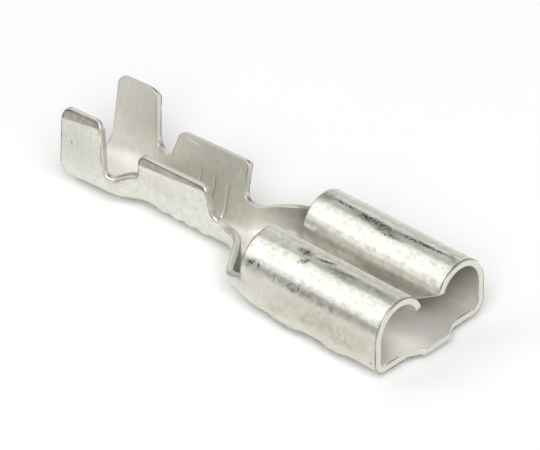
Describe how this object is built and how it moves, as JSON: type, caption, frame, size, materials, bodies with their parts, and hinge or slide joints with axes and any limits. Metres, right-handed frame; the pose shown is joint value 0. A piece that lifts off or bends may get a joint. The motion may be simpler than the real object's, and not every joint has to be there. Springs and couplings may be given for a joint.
{
  "type": "female quick-connect receptacle terminal",
  "caption": "Uninsulated push-on receptacle folded from one sheet, with rolled tab socket, drawn neck, serrated conductor barrel and open insulation barrel.",
  "frame": {"origin": "on the plane of the lowest point, the rear of the insulation barrel, under the middle of the overall length and width", "axes": "+X points out of the tab socket's mouth, towards the tab; +Y is across the socket's width; +Z points from the socket's flat floor towards the rolls"},
  "size_m": [0.0238, 0.0078, 0.0052],
  "materials": {
    "tin_plated_brass": "pale warm satin tin plating over brass strip"
  },
  "bodies": {
    "root": {"receptacle_terminal": "tin_plated_brass"}
  },
  "joints": []
}
